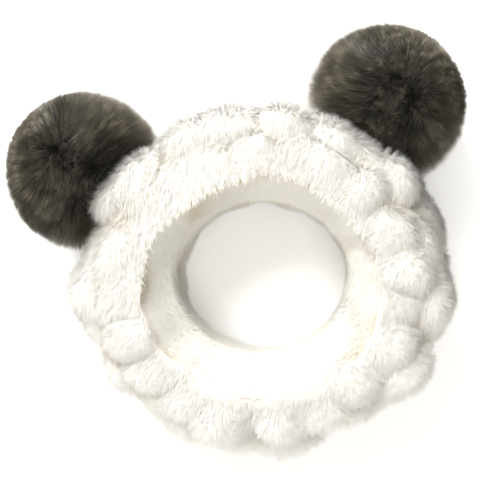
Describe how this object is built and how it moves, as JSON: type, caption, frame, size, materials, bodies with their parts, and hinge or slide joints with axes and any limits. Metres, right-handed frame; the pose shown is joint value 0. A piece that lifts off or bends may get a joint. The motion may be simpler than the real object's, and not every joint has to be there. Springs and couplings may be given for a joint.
{
  "type": "animal ears headband",
  "caption": "Stretch headband of gathered plush on an elastic core, with a pair of round faux-fur animal ears sewn to its outside.",
  "frame": {"origin": "on the loop's axis at half the band's width, in the middle of the head opening", "axes": "+Z along the loop's axis, away from the edge that the loop lies on; +Y towards the crown, midway between the two ears; +X to the right when seen from +Z"},
  "size_m": [0.263, 0.2254, 0.093],
  "materials": {
    "white_plush": "deep coral fleece pile",
    "white_lining": "short napped fleece",
    "elastic": "woven elastic tape",
    "white_thread": "polyester sewing thread",
    "dark_thread": "dark waxed thread",
    "dark_fur": "brown-grey faux fur",
    "stuffing": "loose fibre fill"
  },
  "bodies": {
    "band": {"plush_cover": "white_plush", "lining": "white_lining", "elastic_band": "elastic", "elastic_overlap_stitches": "white_thread", "upper_edge_seam": "white_thread", "lower_edge_seam": "white_thread", "closing_seam": "white_thread", "left_ear_anchor": "dark_thread", "right_ear_anchor": "dark_thread"},
    "left_knot": {"left_ear_knot": "dark_thread"},
    "left_ear": {"left_ear_gather_ring": "dark_thread", "left_ear_fur": "dark_fur", "left_ear_stuffing": "stuffing"},
    "right_knot": {"right_ear_knot": "dark_thread"},
    "right_ear": {"right_ear_gather_ring": "dark_thread", "right_ear_fur": "dark_fur", "right_ear_stuffing": "stuffing"}
  },
  "joints": [
    {"name": "left_ear_tip", "type": "hinge", "parent": "band", "child": "left_knot", "pos_m": [-0.06857, 0.06283, 0.009], "axis": [0.6756, 0.7373, 0], "range_deg": [-18, 18], "stiffness_Nm_per_rad": 0.12},
    {"name": "left_ear_swing", "type": "hinge", "parent": "left_knot", "child": "left_ear", "pos_m": [-0.06857, 0.06283, 0.009], "axis": [0, 0, 1], "range_deg": [-18, 18], "stiffness_Nm_per_rad": 0.12},
    {"name": "right_ear_tip", "type": "hinge", "parent": "band", "child": "right_knot", "pos_m": [0.06857, 0.06283, 0.009], "axis": [0.6756, -0.7373, 0], "range_deg": [-18, 18], "stiffness_Nm_per_rad": 0.12},
    {"name": "right_ear_swing", "type": "hinge", "parent": "right_knot", "child": "right_ear", "pos_m": [0.06857, 0.06283, 0.009], "axis": [0, 0, 1], "range_deg": [-18, 18], "stiffness_Nm_per_rad": 0.12}
  ]
}
